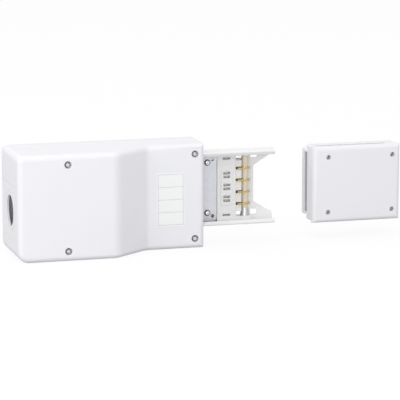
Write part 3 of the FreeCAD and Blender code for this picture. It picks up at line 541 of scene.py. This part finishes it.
def rounded_plate(work, left, right, bottom, top, front, back, corner):
    """Adds a closed plate across Y with rounded corners to a bmesh."""
    ring = []
    for x, z, start in ((right - corner, bottom + corner, -90), (right - corner, top - corner, 0),
                        (left + corner, top - corner, 90), (left + corner, bottom + corner, 180)):
        for i in range(CORNER_STEPS + 1):
            turn = math.radians(start + 90 * i / CORNER_STEPS)
            ring.append((x + corner * math.cos(turn), z + corner * math.sin(turn)))
    near = [work.verts.new((x, front, z)) for x, z in ring]
    far = [work.verts.new((x, back, z)) for x, z in ring]
    work.faces.new(near)
    work.faces.new(far[::-1])
    for i in range(len(ring)):
        j = (i + 1) % len(ring)
        work.faces.new((near[j], near[i], far[i], far[j]))


def plate_mesh(name, plates):
    """Mesh of several rounded plates, each given as the arguments of rounded_plate."""
    work = bmesh.new()
    for plate in plates:
        rounded_plate(work, *plate)
    bmesh.ops.recalc_face_normals(work, faces=work.faces)
    mesh = bpy.data.meshes.new(name)
    work.to_mesh(mesh)
    work.free()
    return mesh


class FEED_UNIT_OT_box(bpy.types.Operator):
    """Front cover, base and gland plate, shaded smoothly round their corners"""
    bl_idname = "feed_unit.box"
    bl_label = "Feed box"

    def execute(self, context):
        for node in ("front_cover", "rear_base", "gland_plate"):
            smooth_piece(node, node + "_shell")
        return {"FINISHED"}


class FEED_UNIT_OT_label(bpy.types.Operator):
    """Bare label plate with blank ruled fields on the cover"""
    bl_idname = "feed_unit.label"
    bl_label = "Label plate"

    def execute(self, context):
        own = context.scene.feed_unit_sizes
        front = own.label_front - own.label_film
        film = [(own.label_left, own.label_right, own.label_bottom, own.label_top,
                 front, own.label_front, own.label_corner)]
        keep("label_plate", plate_mesh("label_plate", film), "label", "cover")

        left, right = own.label_left + own.rule_inset, own.label_right - own.rule_inset
        bottom, top = own.label_bottom + own.rule_inset, own.label_top - own.rule_inset
        half = own.rule_width / 2
        ink = (front - own.rule_ink, front, half / 2)
        lines = [(x - half, x + half, bottom, top, *ink) for x in (left, right)]
        for i in range(own.rule_count + 1):
            z = bottom + (top - bottom) * i / own.rule_count
            lines.append((left - half, right + half, z - half, z + half, *ink))
        keep("label_rules", plate_mesh("label_rules", lines), "rule", "cover")
        return {"FINISHED"}


class FEED_UNIT_OT_stub(bpy.types.Operator):
    """Casing, fixing plate, washers and insulator of the joint stub"""
    bl_idname = "feed_unit.stub"
    bl_label = "Joint stub"

    def execute(self, context):
        for node in ("joint_casing", "fixing_plate", "plate_washers", "joint_insulator"):
            smooth_piece(node, node + "_finished")
        return {"FINISHED"}


class FEED_UNIT_OT_contacts(bpy.types.Operator):
    """Contact bars with the rod, sleeves and foot that clamp them"""
    bl_idname = "feed_unit.contacts"
    bl_label = "Contacts"

    def execute(self, context):
        bars = [node for node in frame["nodes"] if node.startswith("contact_bar")]
        for node in (*bars, "spacer_sleeves", "clamp_rod", "rod_foot"):
            smooth_piece(node, node + "_finished")
        return {"FINISHED"}


class FEED_UNIT_OT_end_cover(bpy.types.Operator):
    """Front shell and rear tray of the end cover"""
    bl_idname = "feed_unit.end_cover"
    bl_label = "End cover"

    def execute(self, context):
        for node in ("end_cover_front", "end_cover_rear"):
            smooth_piece(node, node + "_shell")
        return {"FINISHED"}


class FEED_UNIT_OT_screws(bpy.types.Operator):
    """Cross-head screws in the places of the plain ones"""
    bl_idname = "feed_unit.screws"
    bl_label = "Screws"

    def execute(self, context):
        own = context.scene.feed_unit_sizes
        tree = screw_tree()
        small = (own.small_shank, own.small_recess)
        for node, look, head_height, shank_radius, recess_span in (
                ("cover_screws", "screw", own.head_height, own.cover_shank, own.cover_recess),
                ("end_cover_screws", "steel", own.cap_head_height, *small),
                ("plate_screws", "bright_screw", own.plate_head_height, own.small_shank,
                 own.plate_recess),
                ("casing_screws", "steel", own.small_head_height, *small),
                ("earth_screw", "steel", own.small_head_height, *small)):
            screw_piece(tree, node, look, head_height, shank_radius, recess_span, own.recess_depth)
        bpy.data.node_groups.remove(tree)
        return {"FINISHED"}


class FEED_UNIT_OT_inner_parts(bpy.types.Operator):
    """Finishes on the solids that stay as they are"""
    bl_idname = "feed_unit.inner_parts"
    bl_label = "Inner parts"

    def execute(self, context):
        for node, solid in frame["nodes"].items():
            solid.data.materials.clear()
            solid.data.materials.append(finish(SLOTS[node]))
        return {"FINISHED"}


def looked_at(tree):
    """1 where the camera, metal or a clear part looks, 0 where light only bounces."""
    path = add(tree, "ShaderNodeLightPath").outputs
    seen = path["Is Camera Ray"]
    for name in ("Is Glossy Ray", "Is Transmission Ray"):
        seen = add(tree, "ShaderNodeMath", {0: seen, 1: path[name]}, operation="MAXIMUM").outputs[0]
    return seen


class FEED_UNIT_OT_stage(bpy.types.Operator):
    """Pale floor, soft light and the camera"""
    bl_idname = "feed_unit.stage"
    bl_label = "Stage"

    def execute(self, context):
        own = context.scene.feed_unit_stage
        scene = context.scene
        scene.view_settings.view_transform = "Standard"

        level = CAD_BOX[0][2]
        mesh = bpy.data.meshes.new("floor")
        corners = [(x * FLOOR_REACH, y * FLOOR_REACH, level)
                   for x, y in ((-1, -1), (1, -1), (1, 1), (-1, 1))]
        mesh.from_pydata(corners, [], [(0, 1, 2, 3)])
        floor = bpy.data.objects.new("floor", mesh)
        scene.collection.objects.link(floor)
        paint = bpy.data.materials.new("floor_paint")
        paint.use_nodes = True
        tree = paint.node_tree
        tree.nodes.clear()
        # The floor looks white, but sends back less light, so that undersides stay darker.
        seen = looked_at(tree)
        shade = add(tree, "ShaderNodeMix", {
            MIX_SHARE: seen, MIX_FROM: tone(own.floor_bounce, 1), MIX_TO: WHITE},
            data_type="RGBA").outputs[MIX_RESULT]
        matt = add(tree, "ShaderNodeBsdfDiffuse", {"Color": shade}).outputs[0]
        glow = add(tree, "ShaderNodeEmission", {"Color": WHITE, "Strength": 1.0}).outputs[0]
        share = add(tree, "ShaderNodeMath", {0: seen, 1: own.floor_white},
                    operation="MULTIPLY").outputs[0]
        coat = add(tree, "ShaderNodeMixShader", {0: share, 1: matt, 2: glow}).outputs[0]
        add(tree, "ShaderNodeOutputMaterial", {"Surface": coat})
        mesh.materials.append(paint)

        world = bpy.data.worlds.new("studio")
        world.use_nodes = True
        tree = world.node_tree
        tree.nodes.clear()
        # The studio looks white as well, and lights the object with less.
        even = add(tree, "ShaderNodeBackground", {
            "Color": WHITE, "Strength": own.ambient}).outputs[0]
        glow = add(tree, "ShaderNodeBackground", {"Color": WHITE, "Strength": 1.0}).outputs[0]
        sky = add(tree, "ShaderNodeMixShader", {0: looked_at(tree), 1: even, 2: glow}).outputs[0]
        add(tree, "ShaderNodeOutputWorld", {"Surface": sky})
        scene.world = world

        for name, (side, place) in LAMPS.items():
            light = bpy.data.lights.new(name, "AREA")
            light.energy = getattr(own, name + "_power")
            light.size = side
            lamp = bpy.data.objects.new(name, light)
            lamp.location = place
            # The lamp faces the origin.
            lamp.rotation_euler = lamp.location.to_track_quat("Z", "Y").to_euler()
            scene.collection.objects.link(lamp)

        lens = bpy.data.cameras.new("camera")
        lens.sensor_width = SENSOR_WIDTH
        lens.lens = own.lens
        lens.clip_end = CAMERA_REACH
        camera = bpy.data.objects.new("camera", lens)
        ahead = Vector((math.sin(own.yaw) * math.cos(own.pitch),
                        math.cos(own.yaw) * math.cos(own.pitch), -math.sin(own.pitch)))
        camera.location = Vector(own.target) - ahead * own.distance
        camera.rotation_euler = ahead.to_track_quat("-Z", "Y").to_euler()
        scene.collection.objects.link(camera)
        scene.camera = camera
        return {"FINISHED"}


OPERATORS = (FEED_UNIT_OT_inner_parts, FEED_UNIT_OT_box, FEED_UNIT_OT_label, FEED_UNIT_OT_stub,
             FEED_UNIT_OT_contacts, FEED_UNIT_OT_end_cover, FEED_UNIT_OT_screws, FEED_UNIT_OT_stage)
GROUPS = {
    "feed_unit_finish": FeedUnitFinish,
    "feed_unit_sizes": FeedUnitSizes,
    "feed_unit_stage": FeedUnitStage,
}


class FEED_UNIT_PT_panel(bpy.types.Panel):
    """Lists the steps and the values that they read."""
    bl_idname = "FEED_UNIT_PT_panel"
    bl_label = "Feed unit"
    bl_space_type = "VIEW_3D"
    bl_region_type = "UI"
    bl_category = "Feed unit"

    def draw(self, context):
        for operator in OPERATORS:
            self.layout.operator(operator.bl_idname)
        for name, group in GROUPS.items():
            column = self.layout.column()
            for value in group.__annotations__:
                column.prop(getattr(context.scene, name), value)


CLASSES = (*GROUPS.values(), *OPERATORS, FEED_UNIT_PT_panel)


def register():
    for added in CLASSES:
        bpy.utils.register_class(added)
    for name, group in GROUPS.items():
        setattr(bpy.types.Scene, name, PointerProperty(type=group))


def unregister():
    for name in GROUPS:
        delattr(bpy.types.Scene, name)
    for added in reversed(CLASSES):
        bpy.utils.unregister_class(added)


def main():
    register()
    bpy.ops.feed_unit.inner_parts()
    bpy.ops.feed_unit.box()
    bpy.ops.feed_unit.label()
    bpy.ops.feed_unit.stub()
    bpy.ops.feed_unit.contacts()
    bpy.ops.feed_unit.end_cover()
    bpy.ops.feed_unit.screws()
    bpy.ops.feed_unit.stage()


if __name__ == "__main__":
    main()
